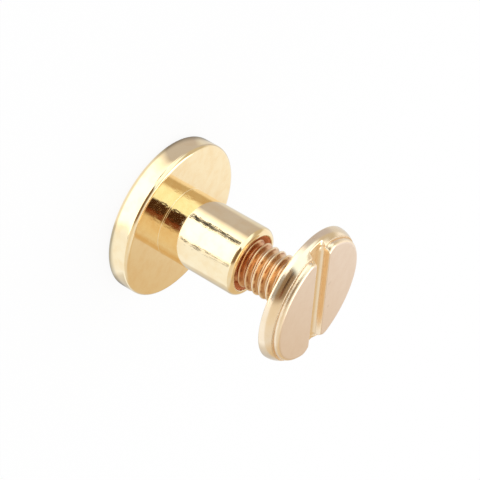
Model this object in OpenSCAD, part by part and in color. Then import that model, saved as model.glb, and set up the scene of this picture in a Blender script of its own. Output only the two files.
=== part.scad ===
// A two-piece binding screw: a flat-headed post with a blind tapped barrel,
// and a slotted screw that is turned into it from the other side of the sheets.
// It stands on the post's head, part way unscrewed. +Z runs up the common axis
// and the slot runs along X.

/* [Post] */
// Diameter of the post's flat head
post_head_d = 10; // [8:0.1:14]
// Thickness of the post's flat head
post_head_t = 1.5; // [1.2:0.05:2.5]
// Rounding of the head's outer edge
post_edge_r = 0.3; // [0.1:0.05:0.5]
// Rounding of the head's inner edge, on the barrel side
post_rim_r = 0.12; // [0.05:0.01:0.3]
// Outside diameter of the barrel
barrel_d = 4.4; // [4:0.1:6]
// Length of the barrel past the head
barrel_l = 5.35; // [4:0.05:20]
// Fillet where the barrel leaves the head
barrel_fillet_r = 0.1; // [0.05:0.01:0.3]
// Rounding of the barrel's lip
lip_r = 0.35; // [0.1:0.01:0.4]
// Width of the countersink at the barrel's mouth
mouth_chamfer = 0.2; // [0.05:0.01:0.3]
// Metal left under the point of the blind bore
bore_floor = 0.65; // [0.4:0.05:1.2]
// Point angle of the blind bore
bore_point_a = 118; // [90:1:140]

/* [Screw head] */
// Diameter of the flange at the back of the screw's head
screw_head_d = 8.5; // [6:0.1:12]
// Height of the flange, from its underside to the crease
flange_t = 0.84; // [0.6:0.01:1.2]
// Rounding of the flange's edge against the sheets
flange_edge_r = 0.12; // [0.05:0.01:0.25]
// How far the flange's bulged side leans in, from its edge to the crown
crown_step = 0.35; // [0.2:0.01:0.8]
// Height of the crown above the crease
crown_t = 0.33; // [0.25:0.01:1]
// Rounding of the crown's shoulder
crown_r = 0.22; // [0.1:0.01:0.3]
// Depth of the crease that parts the flange from the crown
crease_t = 0.04; // [0.02:0.01:0.1]
// Width of the crease
crease_w = 0.06; // [0.04:0.01:0.15]
// Width of the driver slot
slot_w = 1.2; // [0.8:0.05:1.6]
// Depth of the driver slot from the flat face
slot_t = 0.6; // [0.4:0.05:0.9]

/* [Thread] */
// Outside diameter of the screw's thread
thread_d = 3; // [2:0.1:3.5]
// Rise of the thread in one turn
thread_pitch = 0.5; // [0.35:0.05:0.8]
// Plain neck between the thread and the fillet under the head
neck_l = 0.1; // [0.05:0.05:1]
// Length of the lead-in cone at the tip
tip_l = 0.3; // [0.1:0.05:0.6]
// How far the fillet under the head reaches out past the thread
seat_margin = 0.07; // [0.02:0.01:0.15]

/* [Fit] */
// Radial clearance between the thread and the bore
thread_clearance = 0.05; // [0.02:0.01:0.1]
// Gap left under the tip when the screw is home
tip_gap = 0.3; // [0.1:0.05:1]
// Distance between the barrel's mouth and the screw's head as it stands, seven turns out
open_gap = 3.5; // [0:0.1:4]

/* [Hidden] */

post_color = "#f0d9a4";
screw_color = "#e8cdaf";

// Straight sides that stand for a full turn of a round face
round_fn = 96;
// Straight steps in a quarter turn of a rounded edge
arc_steps = 6;

thread_r = thread_d / 2;
bore_r = thread_r + thread_clearance;
barrel_r = barrel_d / 2;
barrel_wall = barrel_r - bore_r;
post_l = post_head_t + barrel_l;

// The countersink and the lip share the barrel's wall
mouth_c = min(mouth_chamfer, 0.35 * barrel_wall);
lip = min(lip_r, 0.6 * barrel_wall);

bore_point_l = bore_r / tan(bore_point_a / 2);
bore_end_z = bore_floor + bore_point_l;
shank_l = post_l - bore_end_z - tip_gap;

screw_z = post_l + open_gap;
flange_r = screw_head_d / 2;
crown_foot_r = flange_r - crown_step;
head_t = flange_t + crown_t;
// The flange's side is one arc, upright at the edge and leaning in as far as the crease
side_in = crown_step - crease_w;
side_t = flange_t - flange_edge_r;
side_r = (side_in * side_in + side_t * side_t) / (2 * side_in);
side_a = atan2(side_t, side_r - side_in);
shoulder_r = min(crown_r, 0.9 * crown_t);

// Outline of a metric thread over one pitch: [part of the pitch, part of the depth]
thread_profile = [[0, 0], [0.12, 0], [0.39, 0.86], [0.46, 1], [0.54, 1], [0.61, 0.86], [0.88, 0]];
thread_depth = 0.6134 * thread_pitch;
root_r = thread_r - thread_depth;
// Plain band between the lead-in cone and the start of the thread
lead_l = 0.05;
// The neck under the head is this much thicker than the thread's root
neck_swell = 0.03;
neck_r = root_r + neck_swell;
// The fillet runs from the neck to a seat that is wider than the thread
neck_fillet_r = thread_r + seat_margin - neck_r;
// Sides of the thread in one turn
thread_sides = 32;
// The thread grows out of the root, and sinks back into it, over this part of a turn
thread_fade = 0.4;
thread_l = shank_l - tip_l - lead_l - neck_l - neck_fillet_r;
thread_steps = floor((thread_l / thread_pitch - 1) * thread_sides);
// The shank reaches this far into the solid head
shank_seat = 0.15;

// Points along a round stretch of an outline, from one angle to another
function arc(x, y, r, from, to) =
    [for (i = [0:arc_steps]) let (a = from + (to - from) * i / arc_steps) [x + r * cos(a), y + r * sin(a)]];

// The post, turned in one piece: head, barrel and the blind bore
module post() {
    color(post_color)
    rotate_extrude($fn = round_fn)
        polygon(concat(
            [[0, 0]],
            arc(post_head_d / 2 - post_edge_r, post_edge_r, post_edge_r, -90, 0),
            arc(post_head_d / 2 - post_rim_r, post_head_t - post_rim_r, post_rim_r, 0, 90),
            arc(barrel_r + barrel_fillet_r, post_head_t + barrel_fillet_r, barrel_fillet_r, 270, 180),
            arc(barrel_r - lip, post_l - lip, lip, 0, 90),
            [[bore_r + mouth_c, post_l], [bore_r, post_l - mouth_c], [bore_r, bore_end_z], [0, bore_floor]]
        ));
}

// The screw's head without its slot, its underside at z = 0
module screw_head_blank() {
    rotate_extrude($fn = round_fn)
        polygon(concat(
            [[0, -neck_fillet_r]],
            arc(neck_r + neck_fillet_r, -neck_fillet_r, neck_fillet_r, 180, 90),
            arc(flange_r - flange_edge_r, flange_edge_r, flange_edge_r, -90, 0),
            arc(flange_r - side_r, flange_edge_r, side_r, 0, side_a),
            [[crown_foot_r + crease_w / 2, flange_t - crease_t], [crown_foot_r, flange_t]],
            arc(crown_foot_r - shoulder_r, head_t - shoulder_r, shoulder_r, 0, 90),
            [[0, head_t]]
        ));
}

// The slot runs right across the crown, and just into the flange in front of it
module driver_slot() {
    translate([-flange_r, -slot_w / 2, head_t - slot_t])
        cube([2 * flange_r, slot_w, slot_t + flange_t]);
}

// Height of the thread at a step along the helix, as a part of its full depth
function thread_rise(s) =
    let (fade_steps = thread_fade * thread_sides)
    max(0, min(1, s / fade_steps, (thread_steps - s) / fade_steps));

// A point of the helical surface that starts at z: step s along it, point j of the outline
function thread_point(s, j, z) =
    let (
        a = 360 * s / thread_sides,
        r = root_r + thread_depth * thread_profile[j][1] * thread_rise(s)
    )
    [r * cos(a), r * sin(a), z + thread_pitch * (s / thread_sides + thread_profile[j][0])];

// A level ring of points, the first one at a given step round the axis
function ring(r, z, first) =
    [for (i = [0:thread_sides - 1])
        let (a = 360 * (i + first) / thread_sides)
        [r * cos(a), r * sin(a), z]];

// The threaded shank as one closed surface, its tip at z = 0. One strip winds
// from the tip to the neck, and each turn of it is joined to the turn below.
module shank() {
    m = len(thread_profile);
    n = thread_sides;
    steps = thread_steps;
    helix_z = tip_l + lead_l;

    // Where each group of points starts in the list
    tip = 0;
    foot = n;
    neck = 2 * n;
    strip = 3 * n;
    last_turn = strip + (steps + 1) * m;

    points = concat(
        ring(root_r - tip_l / 2, 0, 0),
        ring(root_r, tip_l, 0),
        ring(root_r, shank_l + shank_seat, steps),
        [for (s = [0:steps]) for (j = [0:m - 1]) thread_point(s, j, helix_z)],
        [for (s = [steps + 1:steps + n]) thread_point(s, 0, helix_z)]
    );

    // The end of the outline at one step is its start one turn further on
    function at(s, j) =
        let (t = j == m ? s + n : s, k = j == m ? 0 : j)
        t <= steps ? strip + t * m + k : last_turn + t - steps - 1;

    // Up the edges where the strip starts and ends
    start_edge = [for (j = [0:m]) at(0, j)];
    end_edge = concat([for (j = [0:m]) at(steps, j)], [neck]);

    faces = concat(
        // The tip and its lead-in cone
        [[for (i = [0:n - 1]) tip + i]],
        [for (i = [0:n - 1]) [tip + i, foot + i, foot + (i + 1) % n, tip + (i + 1) % n]],
        // The band under the first turn
        [for (i = [0:n - 2]) [foot + i, at(i, 0), at(i + 1, 0)]],
        [for (i = [0:n - 2]) [foot + i, at(i + 1, 0), foot + i + 1]],
        [for (j = [0:m - 1]) [at(n - 1, 0), start_edge[j + 1], start_edge[j]]],
        [[at(n - 1, 0), at(0, 0), foot], [foot + n - 1, at(n - 1, 0), foot]],
        // The thread
        [for (s = [0:steps - 1]) for (j = [0:m - 1]) [at(s, j), at(s, j + 1), at(s + 1, j + 1)]],
        [for (s = [0:steps - 1]) for (j = [0:m - 1]) [at(s, j), at(s + 1, j + 1), at(s + 1, j)]],
        // The neck over the last turn
        [for (j = [0:m]) [at(steps + 1, 0), end_edge[j], end_edge[j + 1]]],
        [[at(steps + 1, 0), neck, neck + 1]],
        [for (i = [1:n - 1]) [at(steps + i, 0), neck + i, neck + (i + 1) % n]],
        [for (i = [1:n - 1]) [at(steps + i, 0), neck + (i + 1) % n, at(steps + i + 1, 0)]],
        [[for (i = [0:n - 1]) neck + n - 1 - i]]
    );
    polyhedron(points = points, faces = faces);
}

// The screw, headed and thread-rolled in one piece
module screw() {
    color(screw_color)
    translate([0, 0, screw_z]) {
        difference() {
            screw_head_blank();
            driver_slot();
        }
        translate([0, 0, -shank_l])
            shank();
    }
}

post();
screw();
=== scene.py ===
import bpy, bmesh
from math import sin, cos, tan, asin, atan2, copysign, hypot, sqrt, pi, radians
from mathutils import Matrix, Vector


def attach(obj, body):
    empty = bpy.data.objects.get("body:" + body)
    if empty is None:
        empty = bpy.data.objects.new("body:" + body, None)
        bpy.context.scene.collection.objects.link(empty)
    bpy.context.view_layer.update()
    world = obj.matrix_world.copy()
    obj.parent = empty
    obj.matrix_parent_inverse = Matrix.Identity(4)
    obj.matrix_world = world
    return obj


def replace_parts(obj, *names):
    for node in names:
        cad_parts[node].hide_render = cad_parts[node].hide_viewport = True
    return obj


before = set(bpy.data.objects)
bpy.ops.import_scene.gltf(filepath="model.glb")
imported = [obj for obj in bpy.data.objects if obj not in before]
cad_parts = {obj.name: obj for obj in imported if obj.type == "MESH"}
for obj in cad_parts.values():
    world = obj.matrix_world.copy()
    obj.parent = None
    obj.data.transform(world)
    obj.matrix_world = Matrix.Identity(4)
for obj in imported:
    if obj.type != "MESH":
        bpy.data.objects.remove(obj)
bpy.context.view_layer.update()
mm = 0.001

# The camera and the mesh

cameraView = {
    "azimuth": 309.1,
    "elevation": 24.0,
    "roll": 119.77,  # the common axis runs down to the right in the picture
    "distance": 87.34,
    "target": (-0.505, 0.621, 5.38),
    "lens": 112.5,
}

lathe = {
    "arcSides": 96,  # along each half of the screw's face
    "slotSides": 24,  # across each end of the slot
    "crowding": 0.6,  # the sides crowd together towards the slot
    "firstAngle": 18.0,
    "arcSteps": 9,  # in a quarter turn of a rounding
    "support": 0.015,  # a ring this far past a rounding keeps the flat beside it flat
}
sides = 2 * (lathe["arcSides"] + lathe["slotSides"])


# Building blocks

class Shell:
    # A closed skin of rings, each joined to the next
    def __init__(self):
        self.points = []
        self.faces = []

    def ring(self, places):
        first = len(self.points)
        self.points += [[c * mm for c in place] for place in places]
        return list(range(first, len(self.points)))

    def stack(self, *rings):
        for lower, upper in zip(rings, rings[1:]):
            for i in range(sides):
                k = (i + 1) % sides
                self.faces.append((lower[i], lower[k], upper[k], upper[i]))

    def build(self, name, material, body):
        mesh = bpy.data.meshes.new(name)
        mesh.from_pydata(self.points, [], self.faces)
        work = bmesh.new()
        work.from_mesh(mesh)
        bmesh.ops.remove_doubles(work, verts=work.verts, dist=1e-7)
        bmesh.ops.recalc_face_normals(work, faces=work.faces)
        loose = sum(not edge.is_manifold for edge in work.edges)
        for face in work.faces:
            face.smooth = True
        work.to_mesh(mesh)
        work.free()
        mesh.materials.append(material)
        piece = bpy.data.objects.new(name, mesh)
        bpy.context.collection.objects.link(piece)
        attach(piece, body)
        print(name, "has", len(mesh.polygons), "faces and", loose, "open edges")
        return piece


def turnAngle(i):
    return radians(lathe["firstAngle"]) + 2 * pi * i / sides


def roundRing(r, z):
    return [(r * cos(turnAngle(i)), r * sin(turnAngle(i)), z) for i in range(sides)]


def rounding(r, z, radius, start, end):
    # Points round a corner of an outline, and one on the flat at each end of it
    steps = max(3, round(lathe["arcSteps"] * abs(end - start) / 90))
    way = lathe["support"] * (1 if end > start else -1)
    a, b = radians(start), radians(end)
    spots = [(r + radius * cos(a + (b - a) * i / steps), z + radius * sin(a + (b - a) * i / steps))
             for i in range(steps + 1)]
    first = (spots[0][0] + way * sin(a), spots[0][1] - way * cos(a))
    last = (spots[-1][0] - way * sin(b), spots[-1][1] + way * cos(b))
    return [first] + spots + [last]


def threadBand(shell, lower, upper, start, steps, outline, place):
    # One strip winds up the helix, and each turn of it is joined to the turn below
    m = len(outline)
    strip = [shell.ring([place(start + s, *spot) for spot in outline]) for s in range(steps + 1)]
    edge = shell.ring([place(start + s, *outline[0]) for s in range(steps + 1, steps + sides + 1)])

    def at(s, j):
        if j == m:
            s, j = s + sides, 0
        return strip[s][j] if s <= steps else edge[s - steps - 1]

    def low(s):
        return lower[(start + s) % sides]

    def high(s):
        return upper[(start + s) % sides]

    faces = shell.faces
    for s in range(steps):
        for j in range(m):
            faces.append((at(s, j), at(s, j + 1), at(s + 1, j + 1), at(s + 1, j)))
    for s in range(sides - 1):
        k = steps + 1 + s
        faces.append((low(s), low(s + 1), at(s + 1, 0), at(s, 0)))
        faces.append((at(k, 0), high(k), high(k + 1), at(k + 1, 0)))
    for j in range(m):
        faces.append((at(0, j), at(0, j + 1), at(sides - 1, 0)))
        faces.append((at(steps, j), at(steps, j + 1), at(steps + 1, 0)))
    faces.append((low(sides - 1), low(0), at(sides - 1, 0)))
    faces.append((low(0), at(0, 0), at(sides - 1, 0)))
    faces.append((at(steps + sides, 0), high(steps), at(steps + 1, 0)))
    faces.append((high(steps), high(steps + 1), at(steps + 1, 0)))


class Wire:
    # A socket that takes part in sums: each sum adds its Math node
    def __init__(self, tree, socket):
        self.tree = tree
        self.socket = socket

    def maths(self, operation, *values):
        node = self.tree.nodes.new("ShaderNodeMath")
        node.operation = operation
        for slot, value in zip(node.inputs, values):
            if isinstance(value, Wire):
                self.tree.links.new(value.socket, slot)
            else:
                slot.default_value = value
        return Wire(self.tree, node.outputs[0])

    def __add__(self, other):
        return self.maths("ADD", self, other)

    def __sub__(self, other):
        return self.maths("SUBTRACT", self, other)

    def __rsub__(self, other):
        return self.maths("SUBTRACT", other, self)

    def __mul__(self, other):
        return self.maths("MULTIPLY", self, other)

    def __truediv__(self, other):
        return self.maths("DIVIDE", self, other)

    __radd__ = __add__
    __rmul__ = __mul__


class Paint:
    # The nodes of one material or of the world
    def __init__(self, owner):
        owner.use_nodes = True
        self.tree = owner.node_tree
        self.tree.nodes.clear()

    def add(self, kind, settings=None, sockets=None, out=0):
        node = self.tree.nodes.new("ShaderNode" + kind)
        for key, value in (settings or {}).items():
            if key == "stops":
                ramp = node.color_ramp.elements
                while len(ramp) < len(value):
                    ramp.new(0.5)
                for stop, (spot, shade) in zip(ramp, value):
                    stop.position = spot
                    stop.color = (*shade, 1) if isinstance(shade, tuple) else (shade, shade, shade, 1)
            elif key == "spread":
                node.color_ramp.interpolation = value
            else:
                setattr(node, key, value)
        for key, value in (sockets or {}).items():
            if isinstance(value, Wire):
                self.tree.links.new(value.socket, node.inputs[key])
            else:
                node.inputs[key].default_value = value
        return Wire(self.tree, node.outputs[out]) if node.outputs else node

    def split(self, vector):
        return [self.add("SeparateXYZ", sockets={"Vector": vector}, out=i) for i in range(3)]

    def blend(self, share, a, b):
        # Two colours, mixed
        return self.add("Mix", {"data_type": "RGBA"}, {0: share, 6: a, 7: b}, out=2)

    def noise(self, spot, scale, detail=2.0, rough=0.5):
        return self.add("TexNoise", sockets={"Vector": spot, "Scale": scale, "Detail": detail, "Roughness": rough})


# The studio: all white to the camera, with soft and dark sides for the metal to mirror

studio = {
    "floorWidth": 3000,
    "floorGlow": 0.9,  # this much of the floor is plain white, and the rest is lit and keeps the shadow
    "fillLight": 0.85,
    "lampWatts": 0.35,
    "lampSize": 300,
    "lampPlace": (60, 120, 320),
    # Brightness round the axis, in degrees from +X
    "floorRound": [(104, (0.585, 0.56, 0.60)), (154, (0.585, 0.56, 0.60)), (163, 1.1), (177, 1.7), (200, 1.9),
                   (250, 1.9), (258, 1.2), (268, (1.02, 1.08, 1.18)), (329, (1.02, 1.08, 1.18)), (337, 0.8), (4, 0.6),
                   (20, 0.78), (92, 0.78)],
    "skyRound": [(98, (0.63, 0.57, 0.46)), (129, (0.65, 0.58, 0.48)), (143, (1.15, 1.3, 1.35)),
                 (151, (1.2, 1.42, 1.5)), (177, (1.2, 1.42, 1.5)), (193, (1.2, 1.38, 1.45)),
                 (199, (0.06, 0.025, 0.012)), (228, (0.06, 0.025, 0.012)), (234, (0.20, 0.06, 0.03)),
                 (243, (0.22, 0.08, 0.04)), (250, (0.5, 0.42, 0.32)), (258, (0.86, 0.79, 0.68)),
                 (290, (0.88, 0.83, 0.74)), (325, 0.85), (350, (0.74, 0.61, 0.43)), (36, (0.74, 0.60, 0.41)),
                 (41, 1.03), (85, 1.03)],
    "skyTop": 0.95,
    "skyBand": (0.37, 0.52),  # heights between which the sky's darkest part is as dark as its stops say
    "skyDark": (0.30, 0.21, 0.125),  # and how dark it is above and below
    "brightest": 2.0,
    # Two dark lines on the floor, and a dark field far out: azimuth, width, where it starts and ends, darkness,
    # how much of it is missing
    "lines": [(189, 13, 8, 17, 0.97, 0.15), (260, 9.0, 8, 17, 0.75, 1.0), (230, 44, 30, 3000, 0.78, 0.0)],
    # Painted contact shadow: between these distances from the axis, the floor that the metal mirrors darkens towards
    # the post's foot, down to this share
    "paintedContactShadow": (5.15, 5.75, 0.5),
    "squeeze": (6.7, 7.9, 1.5),  # close to the post the sides lie closer together, round the front
    "front": 219,
}


def turnOf(x, y):
    return x.maths("ARCTAN2", y, x) / (2 * pi) + 0.5


def mirrorWhite(paint, turn, stops):
    # The colour that metal sees, by the direction round the axis
    spots = sorted(((a + 180) % 360 / 360, [c / studio["brightest"] for c in (v if isinstance(v, tuple) else (v,) * 3)])
                   for a, v in stops)
    first, last = spots[0], spots[-1]
    share = first[0] / (first[0] + 1 - last[0])
    ends = [f + (e - f) * share for f, e in zip(first[1], last[1])]
    ramp = [(t, tuple(c)) for t, c in [(0, ends)] + spots + [(1, ends)]]
    return paint.add("ValToRGB", {"stops": ramp}, {"Fac": turn})


white = (1, 1, 1, 1)
world = bpy.data.worlds.new("studioWorld")
bpy.context.scene.world = world
air = Paint(world)
aimX, aimY, aimZ = air.split(air.add("TexCoord", out="Generated"))
skyColour = mirrorWhite(air, turnOf(aimX, aimY), studio["skyRound"])
high = air.add("MapRange", {"interpolation_type": "SMOOTHSTEP"}, {0: aimZ, 1: 0.72, 2: 0.88, 3: 0.0, 4: 1.0})
skyColour = air.blend(high, skyColour, [studio["skyTop"] / studio["brightest"]] * 3 + [1])
bandFoot, bandTop = studio["skyBand"]
inBand = aimZ.maths("GREATER_THAN", aimZ, bandFoot) * aimZ.maths("LESS_THAN", aimZ, bandTop)
skyColour = air.add("Mix", {"data_type": "RGBA", "blend_type": "LIGHTEN"},
                    {0: 1 - inBand, 6: skyColour, 7: [c / studio["brightest"] for c in studio["skyDark"]] + [1]}, out=2)
shine = air.add("LightPath", out="Is Glossy Ray")
direct = air.add("LightPath", out="Is Camera Ray")
direct = direct.maths("MAXIMUM", direct, air.add("LightPath", out="Is Transmission Ray"))
level = direct + (1 - direct) * (shine * studio["brightest"] + (1 - shine) * studio["fillLight"])
sky = air.add("Background", sockets={"Color": air.blend(shine, white, skyColour), "Strength": level})
air.add("OutputWorld", sockets={"Surface": sky})
world.cycles.sampling_method = "NONE"

floorMesh = bpy.data.meshes.new("floor")
reach = studio["floorWidth"] / 2 * mm
floorMesh.from_pydata([(-reach, -reach, 0), (reach, -reach, 0), (reach, reach, 0), (-reach, reach, 0)], [],
                      [(0, 1, 2, 3)])
floorPiece = bpy.data.objects.new("floor", floorMesh)
floorPiece.location.z = -0.01 * mm
bpy.context.collection.objects.link(floorPiece)
floorLook = bpy.data.materials.new("studioFloor")
floorMesh.materials.append(floorLook)
ground = Paint(floorLook)
spot = ground.add("TexCoord", out="Object")
spotX, spotY, spotZ = ground.split(spot)
away = spotX.maths("SQRT", spotX * spotX + spotY * spotY) / mm
near, far, squeeze = studio["squeeze"]
squeeze = ground.add("MapRange", sockets={0: away, 1: near, 2: far, 3: squeeze, 4: 1.0})
front = (studio["front"] + 180) % 360 / 360
turn = turnOf(spotX, spotY) - front + 0.5
turn = (turn.maths("FRACT", turn + 1) - 0.5) * squeeze + front
turn = turn.maths("FRACT", turn + 1)
floorColour = mirrorWhite(ground, turn, studio["floorRound"])
wander = ground.noise(spot, 1600, 3.0, 0.7)
breaks = ground.add("MapRange", {"interpolation_type": "SMOOTHSTEP"},
                    {0: ground.noise(spot, 700, 2.0, 0.6), 1: 0.46, 2: 0.54, 3: 0.0, 4: 1.0})
dark = 0
for azimuth, width, near, far, depth, missing in studio["lines"]:
    inReach = away.maths("GREATER_THAN", away, near) * away.maths("LESS_THAN", away, far)
    offset = (turn - (azimuth + 180) % 360 / 360) * 360 + (wander - 0.5) * 46
    offset = offset.maths("ABSOLUTE", offset)
    line = ground.add("MapRange", {"interpolation_type": "SMOOTHSTEP"},
                      {0: offset, 1: width / 2 - 1, 2: width / 2 + 1, 3: depth, 4: 0.0})
    dark = dark + line * inReach * (1 - breaks * missing)
seen = ground.add("LightPath", out="Is Camera Ray")
shine = ground.add("LightPath", out="Is Glossy Ray")
near, far, shade = studio["paintedContactShadow"]
# Painted contact shadow round the post's foot, in the floor that the metal mirrors
lit = ground.add("MapRange", {"interpolation_type": "SMOOTHSTEP"}, {0: away, 1: near, 2: far, 3: shade, 4: 1.0})
level = seen + (1 - seen) * lit * studio["brightest"] * (1 - dark)
card = ground.add("BsdfDiffuse", sockets={"Color": (0.9, 0.9, 0.9, 1)})
glow = ground.add("Emission", sockets={"Color": ground.blend(seen, floorColour, white), "Strength": level})
share = seen * studio["floorGlow"] + (1 - seen) * shine
mixed = ground.add("MixShader", sockets={0: share, 1: card, 2: glow})
ground.add("OutputMaterial", sockets={"Surface": mixed})
floorLook.cycles.emission_sampling = "NONE"

lamp = bpy.data.lights.new("softLamp", "AREA")
lamp.shape = "DISK"
lamp.size = studio["lampSize"] * mm
lamp.energy = studio["lampWatts"]
lampPiece = bpy.data.objects.new("softLamp", lamp)
lampPiece.location = Vector(studio["lampPlace"]) * mm
lampPiece.rotation_euler = lampPiece.location.to_track_quat("Z", "Y").to_euler()
bpy.context.collection.objects.link(lampPiece)

azimuth, elevation, roll = (radians(cameraView[k]) for k in ("azimuth", "elevation", "roll"))
back = Vector((sin(azimuth) * cos(elevation), -cos(azimuth) * cos(elevation), sin(elevation)))
levelRight = Vector((0, 0, 1)).cross(back).normalized()
levelUp = back.cross(levelRight)
right = levelRight * cos(roll) + levelUp * sin(roll)
up = levelUp * cos(roll) - levelRight * sin(roll)
lens = bpy.data.cameras.new("camera")
lens.lens = cameraView["lens"]
lens.clip_start = 1 * mm
camera = bpy.data.objects.new("camera", lens)
camera.matrix_world = Matrix.Translation((Vector(cameraView["target"]) + back * cameraView["distance"]) * mm) \
    @ Matrix((right, up, back)).transposed().to_4x4()
bpy.context.collection.objects.link(camera)
bpy.context.scene.camera = camera
bpy.context.scene.view_settings.view_transform = "Standard"
print("studio and camera are up")


# Metals

brass = {
    "postTint": (0.96, 0.79, 0.50),
    "postDeep": (0.93, 0.72, 0.42),
    # Painted shade: the bore's wall is given a dark red-brown, less metallic colour for the shade inside the mouth
    "borePaintedShade": (0.55, 0.16, 0.055),
    "screwTint": (0.95, 0.78, 0.56),
    "screwDeep": (0.93, 0.74, 0.50),
    "faceTint": (0.79, 0.645, 0.52),
    "faceDeep": (0.76, 0.605, 0.475),
    "markTint": (0.62, 0.47, 0.34),
    "marks": [(-0.73, 0.88, 0.1), (-0.76, 1.02, 0.07), (1.28, 1.06, 0.09)],  # x, y and width
    # Painted shade on the thread: darker, deeper orange roots and lower shank, and a darker red still low down, where
    # the shank lies inside the bore
    "shankPaintedShade": (0.72, 0.47, 0.26),
    "tipPaintedShade": (0.66, 0.34, 0.16),
    # Painted shade: dark lines on the thread's flanks near the crests
    "flankPaintedShade": (0.42, 0.17, 0.07),
    # Painted shade in the crease between the crown and the flange
    "creasePaintedShade": (0.86, 0.68, 0.47),
    "postGloss": 0.045,
    "headGloss": 0.075,
    "faceSatin": 0.30,
    "flankGloss": 0.15,
    "boreGloss": 0.3,
    "shankGloss": 0.27,
    "boreMetal": 0.4,
    "boreGlow": (0.21, 0.08, 0.03),  # light that goes round in the narrow mouth
    "postRipple": 0.0014,  # heights of the bumps, in mm
    "rootChatter": 0.018,
    "turningMarks": 0.0004,
    "satinGrain": 0.0012,
    "flankRipple": 0.0006,
}


def places(paint):
    # Where a point lies, in mm: the spot, its x, y and z, its distance from the axis, its place on a drum
    spot = paint.add("VectorMath", {"operation": "SCALE"}, {0: paint.add("TexCoord", out="Object"), "Scale": 1 / mm})
    x, y, z = paint.split(spot)
    r = x.maths("SQRT", x * x + y * y)
    drum = paint.add("CombineXYZ", sockets={"X": x / (r + 0.001), "Y": y / (r + 0.001), "Z": z})
    return spot, x, y, z, r, drum


def stretched(paint, spot, scale):
    return paint.add("VectorMath", {"operation": "MULTIPLY"}, {0: spot, 1: scale})


def above(paint, value, start, end):
    return paint.add("MapRange", {"interpolation_type": "SMOOTHSTEP"}, {0: value, 1: start, 2: end, 3: 0.0, 4: 1.0})


def bumped(paint, height, tall):
    return paint.add("Bump", sockets={"Height": height, "Distance": tall * mm, "Strength": 1.0})


def polishedBrass():
    look = bpy.data.materials.new("polishedBrass")
    paint = Paint(look)
    spot, x, y, z, r, drum = places(paint)
    onHead = 1 - above(paint, z, 1.58, 1.62)

    ripple = paint.noise(stretched(paint, drum, (5, 5, 2.5)), 1.0, 3.0, 0.6)
    rings = paint.noise(paint.add("CombineXYZ", sockets={"X": r * 9, "Y": z * 9}), 1.0, 4.0, 0.7)
    root = (1 - onHead) * (1 - above(paint, z, 2.1, 2.75))
    chatter = paint.noise(stretched(paint, drum, (11, 11, 2.6)), 1.0, 2.0, 0.5)
    height = ripple * (1 - onHead) + chatter * root * (brass["rootChatter"] / brass["postRipple"]) \
        + rings * onHead * (brass["turningMarks"] / brass["postRipple"])

    blotch = paint.noise(spot, 1.3, 3.0, 0.6)
    tint = paint.blend(above(paint, blotch, 0.35, 0.75), (*brass["postTint"], 1), (*brass["postDeep"], 1))
    inBore = (1 - above(paint, r, post["mouthWidth"] / 2 - 0.03, post["mouthWidth"] / 2 - 0.01)) * above(paint, z, 0.3, 0.4) * (1 - above(paint, z, 6.80, 6.84))
    # Painted shade inside the bore: its wall takes the dark red-brown colour
    tint = paint.blend(inBore, tint, (*brass["borePaintedShade"], 1))
    gloss = brass["postGloss"] + onHead * (brass["headGloss"] - brass["postGloss"]) + blotch * 0.02
    gloss = gloss + inBore * (brass["boreGloss"] - brass["postGloss"])
    shader = paint.add("BsdfPrincipled", sockets={
        "Base Color": tint, "Metallic": 1 - inBore * (1 - brass["boreMetal"]), "Roughness": gloss,
        "Emission Color": paint.blend(inBore * above(paint, z, 5.0, 6.3), (0, 0, 0, 1), (*brass["boreGlow"], 1)),
        "Emission Strength": 1.0,
        "Normal": bumped(paint, height, brass["postRipple"])})
    paint.add("OutputMaterial", sockets={"Surface": shader})
    return look


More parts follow.
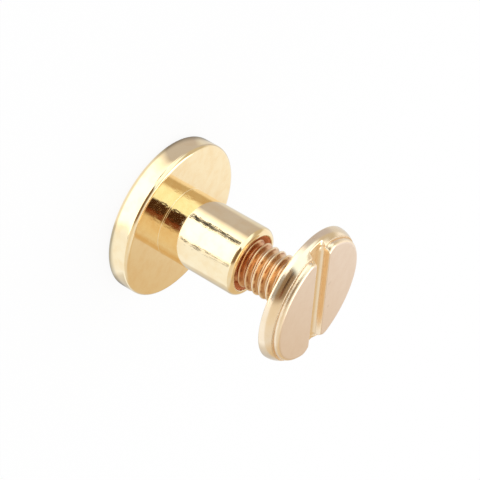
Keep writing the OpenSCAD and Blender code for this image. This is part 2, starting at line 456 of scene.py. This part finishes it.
def satinBrass():
    look = bpy.data.materials.new("satinBrass")
    paint = Paint(look)
    spot, x, y, z, r, drum = places(paint)
    onFace = above(paint, z, screw["seat"] + screw["headHeight"] - 0.03, screw["seat"] + screw["headHeight"] - 0.01)

    grain = paint.noise(spot, 14, 3.0, 0.65)
    ripple = paint.noise(spot, 3.5, 2.0, 0.5)
    height = grain * onFace + ripple * (1 - onFace) * (brass["flankRipple"] / brass["satinGrain"])
    blotch = paint.noise(spot, 1.6, 5.0, 0.7)
    patchy = above(paint, blotch, 0.3, 0.75)
    tint = paint.blend(patchy, (*brass["screwTint"], 1), (*brass["screwDeep"], 1))
    tint = paint.blend(onFace, tint, paint.blend(patchy, (*brass["faceTint"], 1), (*brass["faceDeep"], 1)))
    marks = 0
    for markX, markY, width in brass["marks"]:
        gone = x.maths("SQRT", (x - markX) * (x - markX) + (y - markY) * (y - markY))
        marks = marks + (1 - above(paint, gone + blotch * 0.1, width, width + 0.08))
    tint = paint.blend(marks * onFace * 0.6, tint, (*brass["markTint"], 1))
    # Painted shade on the thread: the lower shank and the roots take darker, deeper colours, darkest low down
    onShank = 1 - above(paint, z, screw["seat"] - 0.3, screw["seat"] - 0.1)
    deep = onShank * (1 - above(paint, r, 1.36, 1.48))
    low = above(paint, z, screw["seat"] - 2.5, screw["seat"] - 3.3)
    tint = paint.blend(low * onShank, tint, (*brass["shankPaintedShade"], 1))
    tint = paint.blend(deep, tint, paint.blend(low, (*brass["shankPaintedShade"], 1), (*brass["tipPaintedShade"], 1)))
    # Painted shade: broken dark lines along the thread's flanks near the crests
    flankShadePatches = above(paint, paint.noise(stretched(paint, drum, (3, 3, 2)), 1.0, 2.0, 0.5), 0.46, 0.56)
    flank = onShank * above(paint, r, 1.32, 1.36) * (1 - above(paint, r, 1.42, 1.46)) * flankShadePatches
    tint = paint.blend(flank * 0.8, tint, (*brass["flankPaintedShade"], 1))
    brow = screw["seat"] + screw["flangeHeight"]
    # Painted shade: the crease under the crown is darker
    inCrease = above(paint, z, brow - 0.07, brow - 0.04) * (1 - above(paint, z, brow, brow + 0.03))
    tint = paint.blend(inCrease, tint, (*brass["creasePaintedShade"], 1))
    crown = above(paint, z, brow - 0.02, brow + 0.03)
    across = y.maths("ABSOLUTE", y)
    corner = above(paint, across, 0.6, 0.66) * (1 - above(paint, across, 0.95, 1.3)) * above(paint, z, brow - 0.3, brow - 0.2)
    crown = crown.maths("MAXIMUM", crown, corner)
    gloss = brass["flankGloss"] + crown * (brass["faceSatin"] - brass["flankGloss"]) + blotch * 0.04
    gloss = gloss + deep * (brass["shankGloss"] - brass["flankGloss"]) + inCrease * 0.1
    shader = paint.add("BsdfPrincipled", sockets={
        "Base Color": tint, "Metallic": 1.0, "Roughness": gloss,
        "Normal": bumped(paint, height, brass["satinGrain"])})
    paint.add("OutputMaterial", sockets={"Surface": shader})
    return look


# The thread that both pieces share

thread = {
    "pitch": 0.5,
    "foot": 5.7313,  # height of the root where the helix crosses the +X side
    # The outline over one pitch: part of the pitch, part of the depth
    "ridge": [(0, 0), (0.07, 0), (0.105, 0.015), (0.135, 0.06), (0.25, 0.42), (0.37, 0.80), (0.41, 0.91),
              (0.455, 0.98), (0.5, 1)],
    "groove": [(0, 0), (0.06, 0), (0.09, 0.02), (0.115, 0.07), (0.235, 0.43), (0.35, 0.79), (0.40, 0.93),
               (0.45, 1)],
}


def bothFlanks(half):
    # The falling flank mirrors the rising one
    return half + [(1 - u, d) for u, d in reversed(half) if 0 < u < 0.5]


def threadHeight(s, u):
    return thread["foot"] + thread["pitch"] * (turnAngle(s) / (2 * pi) + u)


def stepAt(z):
    # The step of the helix whose root lies at this height
    return round(((z - thread["foot"]) / thread["pitch"] * 2 * pi - turnAngle(0)) * sides / (2 * pi))


# The post

post = {
    "headWidth": 10.0,
    "headHeight": 1.5,
    "edge": 0.3,
    "rim": 0.27,
    "barrelWidth": 4.4,
    "height": 6.845,  # a hair under the seat of the closed screw
    "fillet": 0.03,
    "lip": 0.35,
    "mouthWidth": 3.62,
    "mouthEdge": 0.04,
    "counterbore": 3.36,
    "threadTop": 5.9,
    "holeWidth": 2.5,
    "grooveDepth": 0.3,
    "lastThread": 1.55,
    "fade": 0.25,  # of a turn
    "holeFoot": 1.4,
    "floorHeight": 0.65,
}


def buildPost():
    p = post
    shell = Shell()
    outer, barrel, hole = p["headWidth"] / 2, p["barrelWidth"] / 2, p["holeWidth"] / 2
    head, top = p["headHeight"], p["height"]
    mouth, ease = p["mouthWidth"] / 2, p["mouthEdge"]

    outline = [(0, 0), (0.6, 0), (1.8, 0), (3.2, 0), (4.2, 0)]
    outline += rounding(outer - p["edge"], p["edge"], p["edge"], -90, 0)
    outline += [(outer, 0.6), (outer, 0.85), (outer, 1.1)]
    outline += rounding(outer - p["rim"], head - p["rim"], p["rim"], 0, 90)
    outline += [(r, head) for r in (4.6, 4.2, 3.8, 3.4, 3.0, 2.65)]
    outline += rounding(barrel + p["fillet"], head + p["fillet"], p["fillet"], 270, 180)
    outline += [(barrel, head + 0.5 + 0.5 * i) for i in range(9)]
    outline += rounding(barrel - p["lip"], top - p["lip"], p["lip"], 0, 90)
    outline += rounding(mouth + ease * tan(pi / 8), top - ease, ease, 90, 135)
    outer = [shell.ring(roundRing(*spot)) for spot in outline]

    # The thread runs out into the cone under the counterbore, which is as wide as the groove at this height
    bore, shelf = p["counterbore"] / 2, p["threadTop"]
    flare = shelf - (bore - hole - p["grooveDepth"])
    capTop = shelf - 0.01

    start = stepAt(p["lastThread"])
    steps = stepAt(flare) + 1 - start

    def place(s, u, depth):
        z = threadHeight(s, u)
        if z > flare:
            z = flare + (z - flare) * (capTop - flare) / thread["pitch"]
        rise = min(1, (s - start) / (p["fade"] * sides))
        r = max(hole + p["grooveDepth"] * depth * rise, bore - (shelf - z))
        return r * cos(turnAngle(s)), r * sin(turnAngle(s)), z

    brim = [shell.ring(roundRing(r, z)) for r, z in (
        (mouth - 0.02, top - 0.02), (bore + 0.02, top - mouth + bore + 0.02), (bore, top - mouth + bore - 0.01),
        (bore, top - mouth + bore - 0.05), (bore, 6.3), (bore, shelf + 0.04), (bore - 0.002, shelf - 0.002))]
    foot = [shell.ring(roundRing(r, z)) for r, z in (
        (0, p["floorHeight"]), (0.3, p["floorHeight"] + 0.18), (hole - 0.03, p["holeFoot"] - 0.03),
        (hole, p["holeFoot"] + 0.02), (hole, p["lastThread"] - 0.05))]
    threadBand(shell, foot[-1], brim[-1], start, steps, bothFlanks(thread["groove"]), place)
    shell.stack(*outer, *brim)
    shell.stack(*foot)
    return shell.build("postBody", polishedBrass(), "post")


# The screw

screw = {
    "seat": 10.35,  # height of the head's underside
    "headWidth": 8.5,
    "flangeHeight": 0.84,
    "seatEdge": 0.12,
    "crownWidth": 7.8,
    "headHeight": 1.17,
    "shoulder": 0.22,
    "creaseWidth": 0.09,
    "creaseDepth": 0.05,
    "slotWidth": 1.2,
    "slotDepth": 0.6,
    "slotEdge": 0.05,
    "slotFoot": 0.36,
    # The crown's corners fall back beside the slot's ends: how far, and from how far off
    "slotCorner": 0.32,
    "cornerReach": 0.56,
    "slotDraft": 0.015,
    "neckWidth": 2.446,
    "neckFillet": 0.347,
    "neckLength": 0.1,
    "shankLength": 4.9687,
    "coreWidth": 2.386,
    "ridgeDepth": 0.3067,
    "tipWidth": 2.08,
    "fade": 0.4,
}


def slotSection(depth):
    # From the slot's edge on one side to its edge on the other: place across, drop below the face
    w, f = screw["slotEdge"], screw["slotFoot"]
    edge, foot = min(w, depth / 3), min(f, 0.62 * depth)
    half, lean = screw["slotWidth"] / 2, screw["slotDraft"]
    spots = [(half + w * (1 - sin(a)), edge * (1 - cos(a))) for a in (i * pi / 8 for i in range(5))]
    spots += [(half - lean - f * (1 - cos(a)), depth - foot * (1 - sin(a))) for a in (i * pi / 10 for i in range(6))]
    spots += [(0.5 * spots[-1][0], depth)]
    return spots + [(0, depth)] + [(-y, drop) for y, drop in reversed(spots)]


def faceRing(r, z, depth, floorR, bend, corner):
    # Half of a ring runs along the face's edge and then down, across and up the slot
    rim = screw["slotWidth"] / 2 + screw["slotEdge"]
    start = asin(min(1, rim / r))
    half = []
    for i in range(lathe["arcSides"] + 1):
        t = i / lathe["arcSides"]
        a = start + (pi - 2 * start) * (t - lathe["crowding"] * sin(2 * pi * t) / (2 * pi))
        x, y = r * cos(a), r * sin(a)
        inside = max(0, 1 - (y - rim) / screw["cornerReach"])
        half.append((x - copysign(corner * inside ** 2, x), y, z))
    for y, drop in slotSection(depth)[1:-1]:
        reach = r + (floorR - r) * drop / depth if depth else r
        straight, curved = sqrt(max(0, reach ** 2 - rim ** 2)), sqrt(reach ** 2 - y ** 2)
        half.append((corner - straight * (1 - bend) - curved * bend, y, z - drop))
    return half + [(-x, -y, z) for x, y, z in half]


def buildScrew():
    p = screw
    shell = Shell()
    flange, crown = p["headWidth"] / 2, p["crownWidth"] / 2
    top, seat, edge = p["headHeight"], p["seat"], p["seatEdge"]
    slotFloor = top - p["slotDepth"]

    # From the middle of the face out over the shoulder, the crease and the flange
    outline = [(r, top) for r in (p["slotWidth"] / 2 + p["slotEdge"], 0.7, 0.85, 1.1, 1.5, 1.9, 2.3, 2.6, 2.85, 3.05,
                                  3.2, 3.3)]
    inner = len(outline)
    outline += rounding(crown - p["shoulder"], top - p["shoulder"], p["shoulder"], 90, 0)
    wide, deep, brow = p["creaseWidth"], p["creaseDepth"], p["flangeHeight"]
    outline += [(crown + wide / 2 * (1 - cos(a)), brow - deep * sin(a)) for a in (i * pi / 8 for i in range(8))]

    # The flange's side is one bulge, upright at the edge and leaning in as far as the crease
    leanIn, rise = flange - crown - wide, brow - edge
    bulge = (leanIn ** 2 + rise ** 2) / (2 * leanIn)
    steepest = atan2(rise, bulge - leanIn)
    outline += [(flange - bulge * (1 - cos(a)), edge + bulge * sin(a))
                for a in (steepest * (1 - i / 16) for i in range(16))]
    outline += rounding(flange - edge, edge, edge, 0, -90)[1:]

    travel = [0]
    for (r0, z0), (r1, z1) in zip(outline[inner:], outline[inner + 1:]):
        travel.append(travel[-1] + hypot(r1 - r0, z1 - z0))
    runOut = next(i for i, (r, z) in enumerate(outline) if z < slotFloor)
    rings = []
    for i, (r, z) in enumerate(outline):
        depth, floorR = max(0, z - slotFloor) if i < runOut else 0, r
        bend = min(1, max(0, (r - 2.3) / (outline[inner][0] - 2.3)))
        bend = bend * bend * (3 - 2 * bend)
        corner = p["slotCorner"] * bend
        if i >= inner:
            share = min(1, travel[i - inner] / travel[runOut - inner])
            corner *= 1 - share * share
            if i < runOut:
                floorR = outline[inner][0] + (outline[runOut][0] - outline[inner][0]) * share
        rings.append(faceRing(r, seat + z, depth, floorR, bend, corner))

    # Across the underside, where the points spread out evenly again
    last = [atan2(y, x) % (2 * pi) for x, y, z in rings[-1]]
    last = [a + 2 * pi if i > sides / 2 and a < pi else a for i, a in enumerate(last)]
    for r, even in ((3.7, 0.15), (3.2, 0.4), (2.6, 0.7), (2.1, 0.9), (1.75, 1), (1.63, 1)):
        turned = [a + (turnAngle(i) - a) * even for i, a in enumerate(last)]
        rings.append([(r * cos(a), r * sin(a), seat) for a in turned])
    neck, fillet = p["neckWidth"] / 2, p["neckFillet"]
    rings += [roundRing(*spot) for spot in rounding(neck + fillet, seat - fillet, fillet, 90, 180)]
    collar = seat - fillet - p["neckLength"]
    rings.append(roundRing(neck, collar))
    head = [shell.ring(places) for places in rings]

    # The lead-in cone cuts the first turn of the thread down to the core
    core, tipR = p["coreWidth"] / 2, p["tipWidth"] / 2
    tip = seat - p["shankLength"]
    coned = tip + core - tipR
    start = stepAt(coned - thread["pitch"])
    steps = stepAt(collar - thread["pitch"] - 0.02) - start

    def place(s, u, depth):
        z = threadHeight(s, u)
        if z < coned:
            z = coned - (coned - z) * (coned - tip - 0.03) / thread["pitch"]
        rise = max(0, min(1, (start + steps - s) / (p["fade"] * sides)))
        r = min(core + p["ridgeDepth"] * depth * rise, tipR + z - tip)
        return r * cos(turnAngle(s)), r * sin(turnAngle(s)), z

    point = [shell.ring(roundRing(r, tip + z)) for r, z in (
        (0, 0), (0.5, 0), (tipR - 0.06, 0), (tipR - 0.02, 0), (tipR - 0.003, 0.003), (tipR + 0.015, 0.015))]
    threadBand(shell, point[-1], head[-1], start, steps, bothFlanks(thread["ridge"]), place)
    shell.stack(*head)
    shell.stack(*point)
    return shell.build("screwBody", satinBrass(), "screw")


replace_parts(buildPost(), "post")
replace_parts(buildScrew(), "screw")
